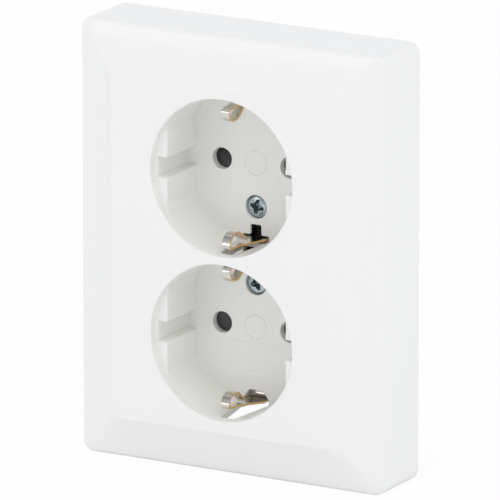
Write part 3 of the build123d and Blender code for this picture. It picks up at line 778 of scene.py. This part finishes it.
# Cover screws: steel screws with a zinc finish and a cross recess, sunk in the cup floors.
# Their heads pull the cover against the wall, and their threads run in collars of the earth strap.
head_t = 2.2 * mm
head_top = head_seat - head_t
thread_outer_r = 1.5 * mm
thread_end = 2.4 * mm
tip_r = 1.1 * mm
tip_end = 2.7 * mm
dome_t = 0.8 * mm
dome = ((0.4, -0.12), (1.5, -0.06), (2.2, 0.05), (2.55, 0.2), (2.74, 0.45))
screw_sides = 40
profile = [(r * mm, head_top + depth * mm) for r, depth in dome]
profile += [(head_r, head_top + dome_t), (head_r, head_seat), (thread_outer_r, head_seat),
            (thread_outer_r, thread_end), (tip_r, tip_end)]
screw_mesh = bmesh.new()
for s in (1, -1):
    turned(screw_mesh, 0, s * screw_z, profile, screw_sides)
cover_screws = object_from(screw_mesh, "cover_screws_dressed", (zinc_screw,))

# The cross recess and the four ticks between its arms, duller than the head and darkened with painted
# shade in these hollows.
painted_shade_zinc = metal("painted_shade_zinc", (0.26, 0.32, 0.34), tarnish=(0.14, 0.17, 0.18), share=0.5,
                  rough=0.42, rough_spread=0.3, streaks=(2500, 2500, 2500), bump=0.004 * mm)
recess_turn = {1: radians(-13), -1: radians(23)}
recess_arm = 1.95 * mm
recess_half = 0.36 * mm
recess_root = 0.78 * mm
recess_over = 0.3 * mm
recess_deep = 1.3 * mm
recess_mouth = 1.08
recess_foot = 0.5
tick_from = 1.45 * mm
tick_to = 2.1 * mm
tick_half = 0.07 * mm
tick_over = 0.5 * mm
tick_deep = 0.12 * mm
arm = ((recess_root, -recess_root), (recess_arm, -recess_half), (recess_arm, recess_half))
tick = ((tick_from, -tick_half), (tick_to, -tick_half), (tick_to, tick_half), (tick_from, tick_half))
recess_ends = ((head_top - recess_over, recess_mouth), (head_top + recess_deep, recess_foot))
recess = bmesh.new()
ticks = bmesh.new()
for s in (1, -1):
    outline = []
    for k in range(4):
        a = recess_turn[s] + k * pi / 2
        outline += [(u * cos(a) - v * sin(a), u * sin(a) + v * cos(a)) for u, v in arm]
        b = a + pi / 4
        prism(ticks, [(u * cos(b) - v * sin(b), s * screw_z + u * sin(b) + v * cos(b)) for u, v in tick],
              head_top - tick_over, head_top + tick_deep)
    ends = [loop_at(recess, [(x * share, y, s * screw_z + z * share) for x, z in outline])
            for y, share in recess_ends]
    skin(recess, ends)
    for end in ends:
        recess.faces.new(end)
# The recess and ticks take the zinc darkened with painted shade.
combine(cover_screws, ticks, "DIFFERENCE", painted_shade_zinc)
combine(cover_screws, recess, "DIFFERENCE", painted_shade_zinc)
cover_screws.data.set_sharp_from_angle(angle=sharp_angle)
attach(cover_screws, "outlet")
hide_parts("cover_screws")

# Studio: a white floor at the foot of the plate, soft light from all round and three soft boxes, the
# main one high on the right. To the camera the floor is nearly white, and keeps a faint shadow.
scene = bpy.context.scene
scene.view_settings.view_transform = "Standard"
floor_half = 4.0
floor_white = 0.93
floor_mesh = bmesh.new()
bmesh.ops.create_grid(floor_mesh, x_segments=8, y_segments=8, size=floor_half)
floor_paint = bpy.data.materials.new("studio_floor")
floor_paint.use_nodes = True
tree = floor_paint.node_tree
tree.nodes.remove(tree.nodes["Principled BSDF"])
seen = add_node(tree, "ShaderNodeLightPath")
lit = add_node(tree, "ShaderNodeBsdfDiffuse", {"Color": (0.98, 0.98, 0.98, 1)})
glow = add_node(tree, "ShaderNodeEmission", {"Color": (1, 1, 1, 1), "Strength": 1.0})
most = add_node(tree, "ShaderNodeMath",
                {0: seen.outputs["Is Camera Ray"], 1: floor_white}, operation="MULTIPLY")
mixed = add_node(tree, "ShaderNodeMixShader",
                 {0: most.outputs[0], 1: lit.outputs[0], 2: glow.outputs[0]})
tree.links.new(mixed.outputs[0], tree.nodes["Material Output"].inputs["Surface"])
floor = object_from(floor_mesh, "studio_floor", (floor_paint,))
floor.location = (0, 0, cad_bounds[0][2])

# Light from all round, strongest from the sides and weakest from the front. Metal sees a dark ceiling
# in it, and the camera plain white.
sky_back = 0.86
sky_side = 1.0
sky_front = 0.46
sky_strength = 0.97
sky_tint = (0.965, 0.98, 1.032, 1)
ceiling_start = 0.3
ceiling_full = 0.8
ceiling_dark = 0.65
world = bpy.data.worlds.new("studio")
scene.world = world
world.use_nodes = True
sky = world.node_tree
seen = add_node(sky, "ShaderNodeLightPath")
way = add_node(sky, "ShaderNodeSeparateXYZ",
               {0: add_node(sky, "ShaderNodeTexCoord").outputs["Generated"]})
ahead = add_node(sky, "ShaderNodeMapRange",
                 {"Value": way.outputs["Y"], "From Min": 1.0, "From Max": -1.0})
level = add_node(sky, "ShaderNodeValToRGB", {"Fac": ahead.outputs["Result"]})
level.color_ramp.elements[0].position = 0.5
level.color_ramp.elements[0].color = (sky_back, sky_back, sky_back, 1)
level.color_ramp.elements[1].position = 0.95
level.color_ramp.elements[1].color = (sky_front, sky_front, sky_front, 1)
for position in (0.6, 0.8):
    level.color_ramp.elements.new(position).color = (sky_side, sky_side, sky_side, 1)
ceiling = add_node(sky, "ShaderNodeMapRange",
                   {"Value": way.outputs["Z"], "From Min": ceiling_start, "From Max": ceiling_full,
                    "To Min": 0.0, "To Max": ceiling_dark})
hidden = add_node(sky, "ShaderNodeMath",
                  {0: ceiling.outputs["Result"], 1: seen.outputs["Is Glossy Ray"]}, operation="MULTIPLY")
left = add_node(sky, "ShaderNodeMath", {0: 1.0, 1: hidden.outputs[0]}, operation="SUBTRACT")
tinted = add_node(sky, "ShaderNodeMix", {"Factor": 1.0, 6: level.outputs["Color"], 7: sky_tint},
                  data_type="RGBA", blend_type="MULTIPLY")
shown = add_node(sky, "ShaderNodeMix",
                 {"Factor": seen.outputs["Is Camera Ray"], 6: tinted.outputs[2], 7: (1.0, 1.0, 1.0, 1)},
                 data_type="RGBA")
strength = add_node(sky, "ShaderNodeMath", {0: left.outputs[0], 1: sky_strength}, operation="MULTIPLY")
sky.links.new(shown.outputs[2], sky.nodes["Background"].inputs["Color"])
sky.links.new(strength.outputs[0], sky.nodes["Background"].inputs["Strength"])

# The soft boxes, turned to the plate: place, size in metres and power in watts.
lamp_tint = (1.0, 0.99, 0.98)
for name, place, size, power in (
    ("soft_box_key", (0.8, -1.0, 1.3), 0.5, 3.0),
    ("soft_box_top", (0.1, -0.6, 1.7), 1.0, 1.6),
    ("soft_box_fill", (-0.85, -1.55, 0.35), 0.5, 1.5),
):
    lamp = bpy.data.lights.new(name, "AREA")
    lamp.size = size
    lamp.energy = power
    lamp.color = lamp_tint
    box = bpy.data.objects.new(name, lamp)
    scene.collection.objects.link(box)
    box.location = place
    box.rotation_euler = (-Vector(place)).to_track_quat("-Z", "Y").to_euler()

# Camera: from the right and a little above, as in the photograph. It stands far off behind a long
# lens, so that parallel edges stay nearly parallel.
view_turn = radians(29.43)
view_rise = radians(15.13)
view_far = 2.787
shift_right = 4.40 * mm
shift_up = 2.52 * mm
right = Vector((cos(view_turn), sin(view_turn), 0))
back = Vector((sin(view_turn) * cos(view_rise), -cos(view_turn) * cos(view_rise), sin(view_rise)))
up = back.cross(right)
lens = bpy.data.cameras.new("camera")
lens.sensor_width = 36.0
lens.lens = 820.0
camera = bpy.data.objects.new("camera", lens)
scene.collection.objects.link(camera)
camera.location = back * view_far - right * shift_right - up * shift_up
camera.rotation_euler = back.to_track_quat("Z", "Y").to_euler()
scene.camera = camera
